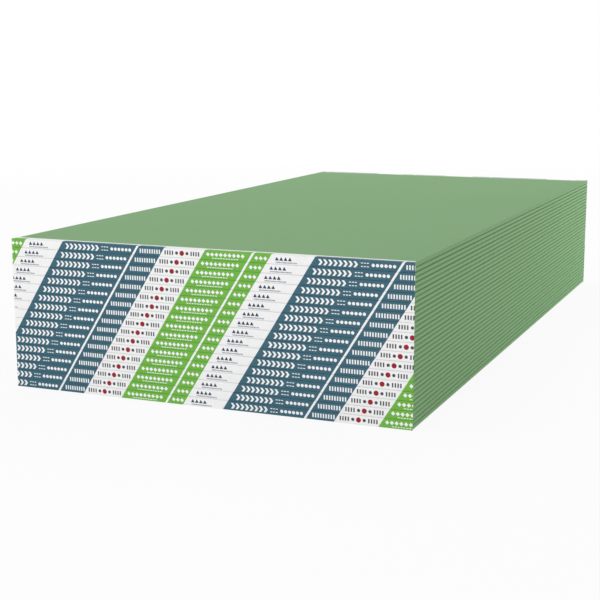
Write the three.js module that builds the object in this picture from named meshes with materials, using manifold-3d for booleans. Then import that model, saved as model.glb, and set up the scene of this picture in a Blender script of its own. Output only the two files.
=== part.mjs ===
// A squared lift of half-inch gypsum sheets, 4 ft wide and 8 ft long. The sheets lie in pairs, back
// to back with their green faces out, and a paper tape folds round each end of each pair.
// Millimetres. +X runs across the sheets, +Y along them from the near end to the far end, +Z up.
// The origin is the middle of the lift's underside.

import * as THREE from 'three';
import * as BufferGeometryUtils from 'three/addons/utils/BufferGeometryUtils.js';
import Module from 'manifold-3d';

// sheet
const sheetWidth = 1219.2;
const sheetLength = 2438.4;
const sheetThickness = 12.7;
const taperWidth = 60; // along each long edge, where the face falls away
const taperDepth = 0.5; // how far it has fallen at the edge itself
const faceArris = 4.2; // radius where the face paper turns down over the long edge
const backArris = 5.4; // radius where it turns in under the back
const arrisSegments = 4; // facets in each of those turns

// lift
const pairCount = 17;
const seamInPair = 0.2; // air between the two backs
const seamBetweenPairs = 0.3;

// end tape
const tapeThickness = 0.2;
const tapeLap = 28; // how far it runs over the outer face of each sheet
const lapInset = 5; // how far its laps stop short of the long edges
const tapeClearance = 0.1; // between the tape and the paper that it is glued to
const rowCut = 0.1; // depth of the cut that parts two rows of the far end's tapes

// colours and finishes
const facePaper = { color: 0x86a880, roughness: 0.85, metalness: 0 };
const tapePaper = { color: 0xecebec, roughness: 0.7, metalness: 0 };

const halfWidth = sheetWidth / 2;
const halfLength = sheetLength / 2;
const pairHeight = 2 * sheetThickness + seamInPair;
const pairPitch = pairHeight + seamBetweenPairs;
const liftHeight = pairCount * pairPitch - seamBetweenPairs;
const seatDepth = tapeThickness + tapeClearance; // the tape lies flush with the face round it
const seatLength = tapeLap + tapeClearance;
const webInner = halfLength + tapeClearance; // inner face of a far tape's web; near ones mirror it
const webOuter = webInner + tapeThickness;
const lapEnd = halfLength - tapeLap; // back edge of its laps
const overcut = 5; // how far a cutting solid runs past what it cuts

const wasm = await Module();
wasm.setup();

// A closed mesh as a solid that can be cut.
function toSolid(geometry) {
  const bare = geometry.clone();
  bare.deleteAttribute('normal');
  bare.deleteAttribute('uv');
  const merged = BufferGeometryUtils.mergeVertices(bare, 1e-4);
  return new wasm.Manifold(new wasm.Mesh({
    numProp: 3,
    vertProperties: new Float32Array(merged.attributes.position.array),
    triVerts: new Uint32Array(merged.index.array),
  }));
}

function toGeometry(solid) {
  const mesh = solid.getMesh();
  const geometry = new THREE.BufferGeometry();
  geometry.setAttribute('position', new THREE.BufferAttribute(mesh.vertProperties, 3));
  geometry.setIndex(new THREE.BufferAttribute(mesh.triVerts, 1));
  geometry.computeVertexNormals();
  return geometry;
}

// An outline in X and Z, run along Y between two places.
function alongY(outline, yFrom, yTo) {
  const geometry = new THREE.ExtrudeGeometry(outline, {
    depth: yTo - yFrom,
    curveSegments: arrisSegments / 2,
    bevelEnabled: false,
  });
  geometry.rotateX(Math.PI / 2);
  geometry.translate(0, yTo, 0);
  return geometry;
}

// An outline in Y and Z, run across the whole width plus a margin at each side.
function acrossX(outline, margin = 0) {
  const run = sheetWidth + 2 * margin;
  const geometry = new THREE.ExtrudeGeometry(outline, { depth: run, bevelEnabled: false });
  geometry.rotateX(Math.PI / 2);
  geometry.rotateZ(Math.PI / 2);
  geometry.translate(-run / 2, 0, 0);
  return geometry;
}

function rectangle(uFrom, uTo, vFrom, vTo) {
  return new THREE.Shape([
    new THREE.Vector2(uFrom, vFrom),
    new THREE.Vector2(uTo, vFrom),
    new THREE.Vector2(uTo, vTo),
    new THREE.Vector2(uFrom, vTo),
  ]);
}

// The section of a sheet, back down and face up: a flat back, round arrises at the long edges, and a
// face that slopes down to them.
function sheetSection() {
  const slope = Math.atan2(taperDepth, taperWidth);
  const faceAtArris = sheetThickness - taperDepth + faceArris * Math.tan(slope);
  const faceCentre = faceAtArris - faceArris / Math.cos(slope);
  const faceX = halfWidth - faceArris;
  const backX = halfWidth - backArris;
  const flatX = halfWidth - taperWidth;
  const section = new THREE.Shape();
  section.moveTo(-backX, 0);
  section.lineTo(backX, 0);
  section.absarc(backX, backArris, backArris, -Math.PI / 2, 0);
  section.absarc(faceX, faceCentre, faceArris, 0, Math.PI / 2 - slope);
  section.lineTo(flatX, sheetThickness);
  section.lineTo(-flatX, sheetThickness);
  section.absarc(-faceX, faceCentre, faceArris, Math.PI / 2 + slope, Math.PI);
  section.absarc(-backX, backArris, backArris, Math.PI, 1.5 * Math.PI);
  return section;
}

// A sheet, face up on Z = 0. Under the tapes' laps its face is pressed in by their thickness.
function sheetSolid() {
  const board = toSolid(alongY(sheetSection(), -halfLength, halfLength));
  const seatBottom = sheetThickness - seatDepth;
  const seatTop = sheetThickness + overcut;
  const nearSeat = rectangle(-halfLength - overcut, -halfLength + seatLength, seatBottom, seatTop);
  const farSeat = rectangle(halfLength - seatLength, halfLength + overcut, seatBottom, seatTop);
  return board
    .subtract(toSolid(acrossX(nearSeat, overcut)))
    .subtract(toSolid(acrossX(farSeat, overcut)));
}

// Cuts the laps of a tape's solid back from the long edges, over a stretch of Y behind its web.
function trimLaps(solid, yFrom, yTo, height) {
  const inner = halfWidth - lapInset;
  const outer = halfWidth + overcut;
  const left = rectangle(-outer, -inner, -overcut, height + overcut);
  const right = rectangle(inner, outer, -overcut, height + overcut);
  return solid
    .subtract(toSolid(alongY(left, yFrom, yTo)))
    .subtract(toSolid(alongY(right, yFrom, yTo)));
}

// The tape round the near end of a pair that stands on Z = 0: a web over the two ends, and a lap on
// each outer face.
function nearTapeSolid() {
  const section = new THREE.Shape();
  section.moveTo(-webOuter, 0);
  section.lineTo(-lapEnd, 0);
  section.lineTo(-lapEnd, tapeThickness);
  section.lineTo(-webInner, tapeThickness);
  section.lineTo(-webInner, pairHeight - tapeThickness);
  section.lineTo(-lapEnd, pairHeight - tapeThickness);
  section.lineTo(-lapEnd, pairHeight);
  section.lineTo(-webOuter, pairHeight);
  section.closePath();
  return trimLaps(toSolid(acrossX(section)), -webInner, -lapEnd + overcut, pairHeight);
}

// The tapes of the far end, as one solid: the same section row on row, with a cut between two rows.
function farTapesSolid() {
  let solid = toSolid(acrossX(rectangle(lapEnd, webOuter, 0, liftHeight)));
  for (let pair = 0; pair < pairCount; pair += 1) {
    const bottom = pair * pairPitch + tapeThickness;
    const top = pair * pairPitch + pairHeight - tapeThickness;
    const inside = rectangle(lapEnd - overcut, webInner, bottom, top);
    solid = solid.subtract(toSolid(acrossX(inside, overcut)));
  }
  for (let pair = 1; pair < pairCount; pair += 1) {
    const top = pair * pairPitch;
    const bottom = top - seamBetweenPairs;
    const slot = rectangle(lapEnd - overcut, webInner, bottom, top);
    const cut = rectangle(webOuter - rowCut, webOuter + overcut, bottom, top);
    solid = solid
      .subtract(toSolid(acrossX(slot, overcut)))
      .subtract(toSolid(acrossX(cut, overcut)));
  }
  return trimLaps(solid, lapEnd - overcut, webInner, liftHeight);
}

function twoDigits(number) {
  return String(number).padStart(2, '0');
}

function addPiece(parent, name, geometry, finish) {
  const mesh = new THREE.Mesh(geometry, new THREE.MeshStandardMaterial(finish));
  mesh.name = name;
  parent.add(mesh);
  return mesh;
}

const lift = new THREE.Group();
const sheetFaceUp = toGeometry(sheetSolid());
const sheetFaceDown = sheetFaceUp.clone();
sheetFaceDown.rotateY(Math.PI);
sheetFaceDown.translate(0, 0, sheetThickness);
const nearTape = toGeometry(nearTapeSolid());

for (let pair = 0; pair < pairCount; pair += 1) {
  const bundle = new THREE.Group();
  bundle.position.z = pair * pairPitch;
  lift.add(bundle);
  addPiece(bundle, `sheet_${twoDigits(2 * pair + 1)}`, sheetFaceDown, facePaper);
  const upper = addPiece(bundle, `sheet_${twoDigits(2 * pair + 2)}`, sheetFaceUp, facePaper);
  upper.position.z = sheetThickness + seamInPair;
  addPiece(bundle, `end_tape_${twoDigits(pair + 1)}`, nearTape, tapePaper);
}
addPiece(lift, 'far_end_tapes', toGeometry(farTapesSolid()), tapePaper);

export default lift;
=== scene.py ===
import math
import random

import bpy
from mathutils import Matrix, Vector


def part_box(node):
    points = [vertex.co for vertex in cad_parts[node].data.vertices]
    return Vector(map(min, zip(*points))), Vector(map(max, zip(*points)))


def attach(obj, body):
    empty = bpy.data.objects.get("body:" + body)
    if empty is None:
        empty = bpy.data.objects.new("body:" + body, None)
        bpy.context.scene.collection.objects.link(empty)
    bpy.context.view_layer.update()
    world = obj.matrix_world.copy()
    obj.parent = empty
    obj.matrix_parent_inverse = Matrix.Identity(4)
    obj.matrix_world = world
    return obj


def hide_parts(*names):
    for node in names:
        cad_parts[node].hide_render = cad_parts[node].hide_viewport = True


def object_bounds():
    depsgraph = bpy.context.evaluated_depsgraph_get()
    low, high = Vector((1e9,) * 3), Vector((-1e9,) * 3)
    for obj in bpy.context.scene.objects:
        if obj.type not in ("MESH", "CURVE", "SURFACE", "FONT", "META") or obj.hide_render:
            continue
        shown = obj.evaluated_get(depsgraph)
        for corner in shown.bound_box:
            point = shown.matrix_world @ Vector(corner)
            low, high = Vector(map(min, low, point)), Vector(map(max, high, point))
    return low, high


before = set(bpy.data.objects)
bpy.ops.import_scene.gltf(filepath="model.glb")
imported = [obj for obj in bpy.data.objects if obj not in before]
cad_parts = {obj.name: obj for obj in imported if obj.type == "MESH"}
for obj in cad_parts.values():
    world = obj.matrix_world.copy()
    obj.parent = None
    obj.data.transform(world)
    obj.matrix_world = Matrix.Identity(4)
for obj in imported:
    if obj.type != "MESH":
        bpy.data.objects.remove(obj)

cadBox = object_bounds()
liftLow, liftHigh = cadBox
liftMiddle = (liftLow + liftHigh) / 2
print("frame loaded:", len(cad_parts), "nodes")

# The lift is built of rows. Each row is a pair of sheets, back to back, with a tape round each end.
firstTape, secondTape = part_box("end_tape_01"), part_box("end_tape_02")
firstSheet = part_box("sheet_01")
rowCount = sum(name.startswith("end_tape_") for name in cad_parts)
rowHeight = firstTape[1].z - firstTape[0].z
rowPitch = secondTape[0].z - firstTape[0].z
rowGap = rowPitch - rowHeight
lapEnd = firstTape[1].y - firstTape[0].y  # from the lift's end to the back edge of a tape's lap
sheetEnd = firstSheet[0].y - liftLow.y  # from the lift's end to the end of the sheets
sheetThickness = firstSheet[1].z - firstSheet[0].z
halfWidth = (liftHigh.x - liftLow.x) / 2
halfLength = (liftHigh.y - liftLow.y) / 2


class Value:
    # a node's output, on which arithmetic adds Math nodes
    def __init__(self, paint, socket):
        self.paint = paint
        self.socket = socket

    def output(self, place):
        return Value(self.paint, self.socket.node.outputs[place])

    def math(self, operation, *operands):
        return self.paint.node("ShaderNodeMath", {"operation": operation}, dict(enumerate(operands)))

    def __add__(self, other):
        return self.math("ADD", self, other)

    def __radd__(self, other):
        return self.math("ADD", other, self)

    def __sub__(self, other):
        return self.math("SUBTRACT", self, other)

    def __rsub__(self, other):
        return self.math("SUBTRACT", other, self)

    def __mul__(self, other):
        return self.math("MULTIPLY", self, other)

    def __rmul__(self, other):
        return self.math("MULTIPLY", other, self)

    def __truediv__(self, other):
        return self.math("DIVIDE", self, other)

    def __rtruediv__(self, other):
        return self.math("DIVIDE", other, self)

    def __lt__(self, other):
        return self.math("LESS_THAN", self, other)

    def __gt__(self, other):
        return self.math("GREATER_THAN", self, other)

    def __abs__(self):
        return self.math("ABSOLUTE", self)

    def floor(self):
        return self.math("FLOOR", self)

    def root(self):
        return self.math("SQRT", self)

    def wrap(self, size):
        return self.math("FLOORED_MODULO", self, size)

    def largest(self, other):
        return self.math("MAXIMUM", self, other)

    def clamped(self):
        return self.math("MINIMUM", self.largest(0.0), 1.0)

    def between(self, low, high):
        return (self > low) * (self < high)


class Paint:
    # the nodes of one material or world
    def __init__(self, owner):
        owner.use_nodes = True
        self.owner = owner
        self.tree = owner.node_tree
        self.tree.nodes.clear()

    def node(self, kind, settings=None, sockets=None, out=0):
        made = self.tree.nodes.new(kind)
        for key, value in (settings or {}).items():
            setattr(made, key, value)
        for key, value in (sockets or {}).items():
            socket = made.inputs[key]
            if isinstance(value, Value):
                self.tree.links.new(value.socket, socket)
            elif socket.type == "RGBA":
                socket.default_value = (*value, 1.0)
            else:
                socket.default_value = value
        return Value(self, made.outputs[out]) if made.outputs else None

    def places(self):
        # where a point is in the lift's own frame, whole and split
        where = self.node("ShaderNodeTexCoord", out="Object")
        split = self.node("ShaderNodeSeparateXYZ", {}, {0: where})
        return where, split.output(0), split.output(1), split.output(2)

    def noise(self, where, grain):
        if "stretch" in grain:
            sockets = {0: where, 1: grain["stretch"]}
            where = self.node("ShaderNodeVectorMath", {"operation": "MULTIPLY"}, sockets)
        return self.node("ShaderNodeTexNoise", {}, {
            "Vector": where,
            "Scale": grain["scale"],
            "Detail": grain["detail"],
            "Roughness": grain["roughness"],
        })

    def mixed(self, factor, first, second):
        # a Mix node has sockets of its own for colours: 6 and 7 going in, and 2 coming out
        return self.node("ShaderNodeMix", {"data_type": "RGBA"}, {0: factor, 6: first, 7: second}, out=2)

    def darkened(self, factor, colour):
        return self.mixed(factor, colour, (0, 0, 0))

    def paper(self, colour, roughness, height, finish):
        bump = self.node("ShaderNodeBump", {}, {
            "Strength": finish["relief"],
            "Distance": finish["reliefDepth"],
            "Height": height,
        })
        shader = self.node("ShaderNodeBsdfPrincipled", {}, {
            "Base Color": colour,
            "Roughness": roughness,
            "Normal": bump,
            "Specular IOR Level": finish["specular"],
        })
        self.node("ShaderNodeOutputMaterial", {}, {"Surface": shader})
        return self.owner


making = {
    "sharpFrom": 35,  # degrees between two faces, from which the edge between them stays sharp
    "mapMargin": 0.02,  # of a piece's flat map, left free round its strips and for its ends
}


def addPiece(name, points, faces, flat, material, stoodFor):
    mesh = bpy.data.meshes.new(name)
    mesh.from_pydata(points, [], faces)
    mesh.materials.append(material)
    layer = mesh.uv_layers.new(name="OFBake")  # a flat map to bake the papers on
    for polygon, corners in zip(mesh.polygons, flat):
        for loop in polygon.loop_indices:
            layer.uv[loop].vector = corners[mesh.loops[loop].vertex_index]
    mesh.update()
    mesh.shade_smooth()
    mesh.set_sharp_from_angle(angle=math.radians(making["sharpFrom"]))
    piece = bpy.data.objects.new(name, mesh)
    bpy.context.scene.collection.objects.link(piece)
    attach(piece, "root")
    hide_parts(stoodFor)


def loft(rings):
    # faces between closed rings of as many points, and one over each end
    size = len(rings[0])
    points = [point for ring in rings for point in ring]
    faces = []
    for k in range(len(rings) - 1):
        for i in range(size):
            j = (i + 1) % size
            faces.append((k * size + i, k * size + j, (k + 1) * size + j, (k + 1) * size + i))
    faces.append(tuple(reversed(range(size))))
    faces.append(tuple((len(rings) - 1) * size + i for i in range(size)))
    return points, faces


def rolledOut(rings, detail):
    # For each face of a loft, where its corners lie on a flat square map. The loft's surface is
    # rolled out and cut into strips of about equal length, which lie one above the other. detail
    # says how much height each stretch of a ring gets there for its size.
    size = len(rings[0])
    margin = making["mapMargin"]
    middle = rings[len(rings) // 2]
    rise = [0.0]
    for i in range(size):
        rise.append(rise[-1] + math.dist(middle[i], middle[(i + 1) % size]) * detail[i])
    run = [0.0]
    for first, second in zip(rings, rings[1:]):
        run.append(run[-1] + math.dist(first[0], second[0]))
    strips = max(1, round(math.sqrt(run[-1] / rise[-1])))
    cuts = []
    for strip in range(strips + 1):
        ideal = run[-1] * strip / strips
        cuts.append(min(range(len(run)), key=lambda k: abs(run[k] - ideal)))

    flat = []
    for strip, (start, end) in enumerate(zip(cuts, cuts[1:])):
        for k in range(start, end):
            for i in range(size):
                corners = {}
                for ring, place in ((k, i), (k, i + 1), (k + 1, i + 1), (k + 1, i)):
                    along = (run[ring] - run[start]) / (run[end] - run[start])
                    up = strip + margin + (1 - 2 * margin) * rise[place] / rise[-1]
                    corners[ring * size + place % size] = (margin + (1 - 2 * margin) * along, up / strips)
                flat.append(corners)

    lows, highs = zip(*((min(axis), max(axis)) for axis in zip(*middle)))
    wide = 0 if highs[0] - lows[0] > highs[1] - lows[1] else 1
    for ring, start in ((0, 0.0), (len(rings) - 1, 1 - margin / 2)):  # each end in a narrow strip
        corners = {}
        for i, point in enumerate(rings[ring]):
            across = (point[wide] - lows[wide]) / (highs[wide] - lows[wide])
            height = (point[2] - lows[2]) / (highs[2] - lows[2])
            corners[ring * size + i] = (start + height * margin / 2, across)
        flat.append(corners)
    return flat


def spread(start, end, steps):
    return [start + (end - start) * k / steps for k in range(steps + 1)]


def arc(centreX, centreZ, radius, start, end, steps):
    return [
        (centreX + radius * math.cos(a), centreZ + radius * math.sin(a))
        for a in spread(start, end, steps)
    ]


# Each grain of a paper is a noise, with its scale for each metre, its octaves of detail, its
# roughness and, where it isn't even, its stretch.
greenPaper = {
    "face": (0.222, 0.396, 0.193),
    "back": (0.36, 0.33, 0.28),
    "gypsum": (0.74, 0.72, 0.68),
    "thickness": 0.00035,  # of the paper, where a sheet's end shows it
    "wrap": 0.025,  # how far the face paper turns in under the back
    "backSlack": 0.0001,  # how far off the plane of a back its own paper still shows
    "endSlack": 0.00002,  # the same for the gypsum at a sheet's end
    "seamPaintedShade": 0.09,  # painted shade: how much darker the long edges are where two sheets meet
    "seamReach": 0.0045,
    "rimPaintedShade": 0.085,  # painted shade: how much darker the lift's long edges are where its top turns down and catches more light
    "rimDepth": 0.0045,  # how far below the top that is strongest
    "rimReach": 0.006,
    "cloud": {"scale": 2.2, "detail": 3.0, "roughness": 0.5},
    "mottle": {"scale": 55.0, "detail": 4.0, "roughness": 0.6},
    "fibre": {"scale": 900.0, "detail": 3.0, "roughness": 0.7, "stretch": (1.0, 0.28, 1.0)},
    "fleck": {"scale": 1500.0, "detail": 1.0, "roughness": 0.5, "stretch": (1.0, 0.45, 1.0)},
    "fleckFrom": 0.72,  # the level of its grain from which a fleck shows
    "cloudTone": 0.04,  # how much each grain turns the tone
    "mottleTone": 0.07,
    "fibreTone": 0.28,
    "fleckTone": 0.10,
    "toneRange": 0.2,  # how far the tone goes to either side
    "matt": 0.85,
    "mattDrift": 0.12,
    "relief": 0.35,
    "reliefDepth": 0.0004,
    "specular": 0.2,
}


def makeGreenPaper():
    paint = Paint(bpy.data.materials.new("greenFacePaper"))
    where, x, y, z = paint.places()
    cloud = paint.noise(where, greenPaper["cloud"])
    mottle = paint.noise(where, greenPaper["mottle"])
    fibre = paint.noise(where, greenPaper["fibre"])
    fleck = paint.noise(where, greenPaper["fleck"]) > greenPaper["fleckFrom"]
    tone = (
        (cloud - 0.5) * greenPaper["cloudTone"]
        + (mottle - 0.5) * greenPaper["mottleTone"]
        + (fibre - 0.5) * greenPaper["fibreTone"]
        - fleck * greenPaper["fleckTone"]
    )
    toneRange = greenPaper["toneRange"]

    def toned(colour):
        dark = tuple(channel * (1 - toneRange) for channel in colour)
        pale = tuple(channel * (1 + toneRange) for channel in colour)
        return paint.mixed((tone * (0.5 / toneRange) + 0.5).clamped(), dark, pale)

    fromMiddle = abs((z - liftLow.z + rowGap / 2).wrap(rowPitch) - rowPitch / 2)  # of a pair
    backLevel = rowHeight / 2 - sheetThickness
    onBack = (fromMiddle < backLevel + greenPaper["backSlack"]) * (abs(x) < halfWidth - greenPaper["wrap"])
    skin = greenPaper["thickness"]
    inCore = fromMiddle.between(backLevel + skin, backLevel + sheetThickness - skin)
    atEnd = abs(y) > halfLength - sheetEnd - greenPaper["endSlack"]
    onGypsum = atEnd * (inCore * (abs(x) < halfWidth - skin))
    colour = paint.mixed(onBack, toned(greenPaper["face"]), toned(greenPaper["back"]))
    colour = paint.mixed(onGypsum, colour, toned(greenPaper["gypsum"]))

    # painted shade in the grooves: the long edges darken towards each seam between two sheets
    toSeam = rowPitch / 4 - abs(fromMiddle - rowPitch / 4)
    onEdge = abs(x) > halfWidth - greenPaper["seamReach"]
    shade = (1 - toSeam / greenPaper["seamReach"]).clamped() * onEdge * greenPaper["seamPaintedShade"]
    colour = paint.darkened(shade, colour)
    # painted shade on the long edges just below the top, which tones down the light they catch there
    offRim = abs(liftHigh.z - z - greenPaper["rimDepth"])
    rimShadePainted = (1 - offRim / greenPaper["rimReach"]).clamped() * onEdge * greenPaper["rimPaintedShade"]
    colour = paint.darkened(rimShadePainted, colour)
    roughness = greenPaper["matt"] + (mottle - 0.5) * greenPaper["mattDrift"]
    return paint.paper(colour, roughness, fibre, greenPaper)


printed = {
    "white": (0.912, 0.909, 0.913),
    "blue": (0.047, 0.131, 0.180),
    "green": (0.164, 0.460, 0.058),
    "navy": (0.022, 0.042, 0.095),
    "red": (0.330, 0.012, 0.028),
    "grey": (0.075, 0.072, 0.080),
    "slant": 0.62,  # sideways run of a band for each unit of height
    "start": 0.100,  # where in the bands the left end of the lowest row lies
    "jitter": 0.0006,  # how far one row's print is off the next
    "wrapRound": 0.0165,  # how far the print goes round the fold
    "foldPaintedShade": 0.18,  # painted shade: how much darker the folds are, where rows of tape meet
    "foldReach": 0.0016,
    "fibre": {"scale": 700.0, "detail": 3.0, "roughness": 0.6},
    "mottle": {"scale": 60.0, "detail": 4.0, "roughness": 0.6},
    "unevenness": 0.16,  # of the ink and the paper's white
    "matt": 0.58,
    "mattDrift": 0.15,
    "relief": 0.15,
    "reliefDepth": 0.0004,
    "specular": 0.2,
    # ink and width of each band
    "bands": [
        ("blue", 0.240),
        ("white", 0.007),
        ("blue", 0.080),
        ("white", 0.125),
        ("green", 0.140),
        ("white", 0.007),
        ("green", 0.050),
        ("white", 0.124),
    ],
    # ink, shape, height over the row's middle, start, pitch and number
    "marks": [
        ("white", "arrowhead", 0.0, 0.016, 0.0140, 8),
        ("white", "dash", 0.0045, 0.134, 0.0080, 3),
        ("white", "dash", -0.0045, 0.134, 0.0080, 3),
        ("white", "bead", 0.0, 0.163, 0.0115, 6),
        ("white", "bar", 0.0, 0.256, 0.0075, 9),
        ("grey", "bar", 0.0, 0.334, 0.0075, 4),
        ("grey", "bead", 0.0, 0.367, 0.0120, 1),
        ("red", "spot", 0.0, 0.381, 0.0160, 1),
        ("grey", "bead", 0.0, 0.399, 0.0120, 1),
        ("grey", "bar", 0.0, 0.414, 0.0075, 4),
        ("white", "lozenge", 0.0020, 0.462, 0.0130, 9),
        ("white", "dash", -0.0080, 0.480, 0.0080, 10),
        ("white", "lozenge", 0.0, 0.606, 0.0130, 3),
        ("navy", "triangle", 0.0015, 0.666, 0.0125, 4),
        ("navy", "tick", -0.0080, 0.668, 0.0035, 18),
    ],
}


# Each of these is 1 inside its mark, for a point that is off by offX and offZ from the mark's middle.
def boxMark(offX, offZ, halfWidth, halfHeight):
    return (abs(offX) < halfWidth) * (abs(offZ) < halfHeight)


def roundMark(offX, offZ, radius):
    return (offX * offX + offZ * offZ).root() < radius


def lozengeMark(offX, offZ, reach):
    return abs(offX) + abs(offZ) < reach


def triangleMark(offX, offZ, slope, top, foot):
    return (abs(offX) * slope + offZ < top) * (offZ > -foot)


def arrowheadMark(offX, offZ, sweep, point, halfWidth, halfHeight):
    return boxMark(offX + abs(offZ) * sweep - point, offZ, halfWidth, halfHeight)


markShapes = {
    "arrowhead": (arrowheadMark, {"sweep": 0.75, "point": 0.0030, "halfWidth": 0.0034, "halfHeight": 0.0080}),
    "bar": (boxMark, {"halfWidth": 0.0020, "halfHeight": 0.0060}),
    "bead": (roundMark, {"radius": 0.0045}),
    "spot": (roundMark, {"radius": 0.0070}),
    "triangle": (triangleMark, {"slope": 1.8, "top": 0.0055, "foot": 0.0045}),
    "lozenge": (lozengeMark, {"reach": 0.0058}),
    "dash": (boxMark, {"halfWidth": 0.0028, "halfHeight": 0.0011}),
    "tick": (boxMark, {"halfWidth": 0.0009, "halfHeight": 0.0018}),
}


def makePrintedTape():
    paint = Paint(bpy.data.materials.new("printedTapePaper"))
    where, x, y, z = paint.places()
    far = y > liftMiddle.y
    across = x * (1 - 2 * far) + halfWidth  # from the left end of a row, seen from in front of it
    height = z - liftLow.z
    row = ((height + rowGap / 2) / rowPitch).floor()
    level = row * rowPitch + rowHeight / 2
    up = height - level  # from the middle of the row
    seed = paint.node("ShaderNodeCombineXYZ", {}, {0: row, 1: far})
    offset = paint.node("ShaderNodeTexWhiteNoise", {"noise_dimensions": "2D"}, {"Vector": seed})
    along = across + printed["start"] + (offset - 0.5) * printed["jitter"]
    period = sum(width for _, width in printed["bands"])
    inBand = (along - height * printed["slant"]).wrap(period)
    inRow = (along - level * printed["slant"]).wrap(period)  # the same for a whole row's height

    colour = printed["white"]
    place = 0.0
    for ink, width in printed["bands"]:
        if ink != "white":
            colour = paint.mixed(inBand.between(place, place + width), colour, printed[ink])
        place += width
    for ink, shape, rise, first, pitch, count in printed["marks"]:
        marked, sizes = markShapes[shape]
        offX = (inRow - first).wrap(pitch) - pitch / 2
        mark = marked(offX, up - rise, **sizes) * inRow.between(first, first + pitch * count)
        colour = paint.mixed(mark, colour, printed[ink])
    fromEnd = halfLength - abs(y - liftMiddle.y)
    colour = paint.mixed(fromEnd < printed["wrapRound"], printed["white"], colour)

    fibre = paint.noise(where, printed["fibre"])
    mottle = paint.noise(where, printed["mottle"])
    colour = paint.darkened(((fibre + mottle - 1) * printed["unevenness"]).clamped(), colour)
    # painted shade along each tape's folds, in the grooves between rows
    toFold = fromEnd + rowHeight / 2 - abs(up)
    foldShadePainted = (1 - toFold / printed["foldReach"]).clamped() * printed["foldPaintedShade"]
    colour = paint.darkened(foldShadePainted, colour)
    roughness = printed["matt"] + (mottle - 0.5) * printed["mattDrift"]
    return paint.paper(colour, roughness, fibre, printed)


tape = {
    "thickness": 0.0002,
    "foldRadius": 0.0011,  # outside the fold
    "foldSteps": 6,
    "lapInset": 0.005,  # how far the laps stop short of the long edges
    "cornerCut": 0.0015,  # how far the side of a lap slants in over its length
    "acrossSteps": 25,
    "lapDetail": 0.35,  # share of the flat map that a lap gets for its size, against the front's
    "insideDetail": 0.04,
}


def tapeSection(bottom, top, outerY, inward, lap):
    # closed section in Y and Z: outer path up, inner path down; inward is +1 at the near end
    outerR, thickness = tape["foldRadius"], tape["thickness"]
    innerR = outerR - thickness
    lapY = outerY + inward * lap

    def fold(centreZ, radius, start, end):
        turn = arc(0.0, centreZ, radius, start, end, tape["foldSteps"])
        return [(outerY + inward * (outerR + y), z) for y, z in turn]

    under, level, over = 1.5 * math.pi, math.pi, 0.5 * math.pi
    outer = [(lapY, bottom)] + fold(bottom + outerR, outerR, under, level)
    outer += fold(top - outerR, outerR, level, over) + [(lapY, top)]
    inner = [(lapY, top - thickness)] + fold(top - outerR, innerR, over, level)
    inner += fold(bottom + outerR, innerR, level, under) + [(lapY, bottom + thickness)]
    return outer + inner


def tapeStations():
    # places across a tape, each with the length of its laps there
    stub = tape["foldRadius"] + tape["thickness"]  # where a lap is cut away, only the fold is left
    side = halfWidth - tape["lapInset"]
    full = side - tape["cornerCut"]
    right = [(full, lapEnd), (side, stub), (halfWidth, stub)]
    inner = [(x, lapEnd) for x in spread(-full, full, tape["acrossSteps"])[1:-1]]
    return [(-x, lap) for x, lap in reversed(right)] + inner + right


def tapeDetail(size):
    # the outer half of a section's stretches is a lap, the folds with the front, and a lap
    half = size // 2
    outer = [tape["lapDetail"]] + [1] * (half - 3) + [tape["lapDetail"]]
    return outer + [tape["insideDetail"]] * (half + 1)


def addTape(row, end, material):
    near = end == "near"
    bottom = liftLow.z + row * rowPitch
    outerY, inward = (liftLow.y, 1) if near else (liftHigh.y, -1)
    rings = []
    for x, lap in tapeStations():
        section = tapeSection(bottom, bottom + rowHeight, outerY, inward, lap)
        rings.append([(x, y, z) for y, z in section])
    points, faces = loft(rings)
    flat = rolledOut(rings, tapeDetail(len(rings[0])))
    if not near:
        faces = [face[::-1] for face in faces]
    stoodFor = f"end_tape_{row + 1:02d}" if near else "far_end_tapes"
    addPiece(f"{end}_tape_{row + 1:02d}", points, faces, flat, material, stoodFor)


sheet = {
    "taperWidth": 0.060,  # along each long edge, where the face falls away
    "taperDepth": 0.0005,
    "faceArris": 0.0042,  # radius where the face paper turns down over a long edge
    "backArris": 0.0054,
    "arrisSteps": 8,
    "taperSteps": 6,
    "lapClearance": 0.0001,  # between the tape's lap and the paper pressed in under it
    "endArris": 0.0008,  # radius of the face's edge inside the tape's fold
    "endSteps": 4,
    "lengthSteps": 24,
    "wander": 0.00022,  # how far a long edge wavers, and how far it may stand back
    "wanderReach": 0.020,  # how far in from the edge that is felt
    "waves": 3,  # for each long edge
    "waveRates": (1, 5),  # radians for each metre
    "edgeDetail": 12,  # share of the flat map that a long edge gets for its size, against the face's
    "edgeReach": 0.010,
}


def sheetSection():
    # face up, back on 0, anticlockwise seen from the near end
    slope = math.atan2(sheet["taperDepth"], sheet["taperWidth"])
    faceR, backR = sheet["faceArris"], sheet["backArris"]
    faceTop = sheetThickness - sheet["taperDepth"] + faceR * math.tan(slope)
    faceCentre = faceTop - faceR / math.cos(slope)
    right = arc(halfWidth - backR, backR, backR, -math.pi / 2, 0, sheet["arrisSteps"])
    right += arc(halfWidth - faceR, faceCentre, faceR, 0, math.pi / 2 - slope, sheet["arrisSteps"])
    for inset in spread(faceR, sheet["taperWidth"], sheet["taperSteps"])[1:]:
        fallen = sheet["taperDepth"] * (1 - inset / sheet["taperWidth"])
        right.append((halfWidth - inset, sheetThickness - fallen))
    return right + [(-x, z) for x, z in reversed(right)]


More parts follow.
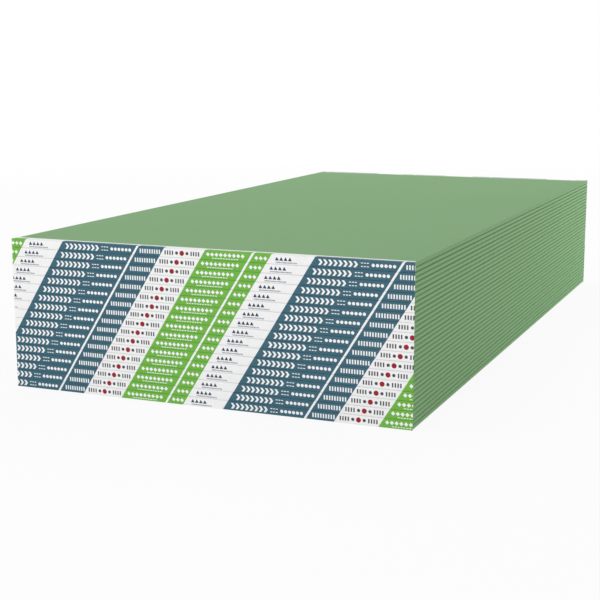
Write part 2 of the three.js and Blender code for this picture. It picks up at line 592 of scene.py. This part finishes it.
def sheetStations(low, high):
    # places along a sheet, each with the height that its face reaches there
    seatDepth = tape["thickness"] + sheet["lapClearance"]
    seated = sheetThickness - seatDepth
    radius = sheet["endArris"]
    near = []
    for angle in spread(0, math.pi / 2, sheet["endSteps"]):
        near.append((radius * (1 - math.cos(angle)), seated - radius * (1 - math.sin(angle))))
    seatEnd = lapEnd - sheetEnd + sheet["lapClearance"]
    near.append((seatEnd, seated))
    near.append((seatEnd + seatDepth, sheetThickness))
    length = high - low
    inner = spread(near[-1][0], length - near[-1][0], sheet["lengthSteps"])[1:-1]
    stations = near + [(place, sheetThickness) for place in inner]
    stations += [(length - place, limit) for place, limit in reversed(near)]
    return [(low + place, limit) for place, limit in stations]


def sheetDetail(ring):
    innermost = [min(abs(a[0]), abs(b[0])) for a, b in zip(ring, ring[1:] + ring[:1])]
    return [sheet["edgeDetail"] if x > halfWidth - sheet["edgeReach"] else 1 for x in innermost]


def waveringEdges(number):
    # how far in each long edge of a sheet lies, left and right, at a place along it
    rng = random.Random(number)
    slowest, fastest = sheet["waveRates"]
    waves = [
        [(rng.uniform(slowest, fastest), rng.uniform(0, 2 * math.pi)) for _ in range(sheet["waves"])]
        for _ in range(2)
    ]
    setBack = [rng.uniform(0, sheet["wander"]) for _ in range(2)]

    def inward(side, y):
        swing = sum(math.sin(rate * y + phase) for rate, phase in waves[side]) / sheet["waves"]
        return setBack[side] + sheet["wander"] * (swing + 1) / 2

    return inward


def addSheet(number, material):
    name = f"sheet_{number:02d}"
    faceUp = number % 2 == 0
    low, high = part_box(name)
    inward = waveringEdges(number)
    section = sheetSection()
    rings = []
    for y, limit in sheetStations(low.y, high.y):
        ring = []
        for x, z in section:
            felt = max(0.0, 1 - (halfWidth - abs(x)) / sheet["wanderReach"])
            x -= math.copysign(inward(x > 0, y) * felt, x)
            z = min(z, limit)
            ring.append((x, y, low.z + (z if faceUp else sheetThickness - z)))
        rings.append(ring[::-1] if faceUp else ring)
    points, faces = loft(rings)
    flat = rolledOut(rings, sheetDetail(rings[len(rings) // 2]))
    addPiece(name + "_paper", points, faces, flat, material, name)


greenMaterial = makeGreenPaper()
tapeMaterial = makePrintedTape()
print("materials made")

for number in range(1, 2 * rowCount + 1):
    addSheet(number, greenMaterial)
print("sheets made")

for row in range(rowCount):
    addTape(row, "near", tapeMaterial)
    addTape(row, "far", tapeMaterial)
print("tapes made")


studio = {
    "sky": 0.70,  # even light from all round
    "floorColour": (0.86, 0.86, 0.86),
    "floorGlow": 0.90,  # share of plain white in the floor's look, close to the lift
    "fadeFrom": 2.5,  # where that share starts to grow
    "fadeTo": 8.0,  # where the floor is all white
    "floorReach": 60.0,
    "lamps": {
        "keyLamp": {"place": (-0.5, -5.6, 0.8), "aim": (0, -1.2, 0.2), "size": 1.5, "power": 51.5},
        "nearLamp": {"place": (-0.9, -1.6, 3.2), "aim": (0, -1.0, 0.44), "size": 1.0, "power": 6.0},
        "sideLamp": {"place": (3.4, 2.2, 0.7), "aim": (0.6, 1.0, 0.2), "size": 0.6, "power": 37.1},
        "topLamp": {"place": (-1.5, 3.2, 4.0), "aim": (0, 0.4, 0.44), "size": 3.0, "power": 48.8},
    },
}


def seenPlainly(paint):
    # 1 for rays from the eye, and for those that come off gloss or through glass
    path = paint.node("ShaderNodeLightPath")
    seen = path.output("Is Camera Ray").largest(path.output("Is Glossy Ray"))
    return seen.largest(path.output("Is Transmission Ray"))


def makeFloorMaterial():
    paint = Paint(bpy.data.materials.new("studioFloor"))
    _, x, y, _ = paint.places()
    away = (x * x + y * y).root()
    fade = ((away - studio["fadeFrom"]) / (studio["fadeTo"] - studio["fadeFrom"])).clamped()
    glow = studio["floorGlow"] + fade * (1 - studio["floorGlow"])
    diffuse = paint.node("ShaderNodeBsdfDiffuse", {}, {"Color": studio["floorColour"]})
    white = paint.node("ShaderNodeEmission", {}, {"Color": (1, 1, 1)})
    surface = paint.node("ShaderNodeMixShader", {}, {0: seenPlainly(paint) * glow, 1: diffuse, 2: white})
    paint.node("ShaderNodeOutputMaterial", {}, {"Surface": surface})
    return paint.owner


def makeFloor():
    reach = studio["floorReach"]
    corners = [(-reach, -reach, 0), (reach, -reach, 0), (reach, reach, 0), (-reach, reach, 0)]
    mesh = bpy.data.meshes.new("floor")
    mesh.from_pydata(corners, [], [(0, 1, 2, 3)])
    mesh.materials.append(makeFloorMaterial())
    floor = bpy.data.objects.new("floor", mesh)
    floor.location.z = liftLow.z
    bpy.context.scene.collection.objects.link(floor)


def makeWorld():
    world = bpy.data.worlds.new("studioLight")
    bpy.context.scene.world = world
    paint = Paint(world)
    even = paint.node("ShaderNodeBackground", {}, {"Color": (1, 1, 1), "Strength": studio["sky"]})
    white = paint.node("ShaderNodeBackground", {}, {"Color": (1, 1, 1), "Strength": 1.0})
    surface = paint.node("ShaderNodeMixShader", {}, {0: seenPlainly(paint), 1: even, 2: white})
    paint.node("ShaderNodeOutputWorld", {}, {"Surface": surface})


def makeLamps():
    for name, lamp in studio["lamps"].items():
        light = bpy.data.lights.new(name, "AREA")
        light.energy = lamp["power"]
        light.size = lamp["size"]
        holder = bpy.data.objects.new(name, light)
        holder.visible_camera = False
        holder.location = lamp["place"]
        aim = Vector(lamp["aim"]) - holder.location
        holder.rotation_euler = aim.to_track_quat("-Z", "Y").to_euler()
        bpy.context.scene.collection.objects.link(holder)


camera = {
    "place": (1.55465, -4.24358, 0.93985),
    "heading": 22.635,  # degrees from +Y towards -X
    "dip": 10.670,  # degrees below the horizon
    "lean": -0.082,  # degrees round the line of sight
    "lens": 75.818,  # mm
    "sensor": 36.0,  # mm
    "reach": 200.0,
}


def makeCamera():
    lens = bpy.data.cameras.new("camera")
    lens.lens = camera["lens"]
    lens.sensor_width = camera["sensor"]
    lens.clip_end = camera["reach"]
    eye = bpy.data.objects.new("camera", lens)
    turn = Matrix.Rotation(math.radians(camera["heading"]), 4, "Z")
    tilt = Matrix.Rotation(math.radians(90 - camera["dip"]), 4, "X")
    lean = Matrix.Rotation(math.radians(camera["lean"]), 4, "Z")
    eye.matrix_world = Matrix.Translation(camera["place"]) @ turn @ tilt @ lean
    bpy.context.scene.collection.objects.link(eye)
    bpy.context.scene.camera = eye


makeFloor()
makeWorld()
makeLamps()
makeCamera()
bpy.context.scene.view_settings.view_transform = "Standard"
print("stage, light and camera made")
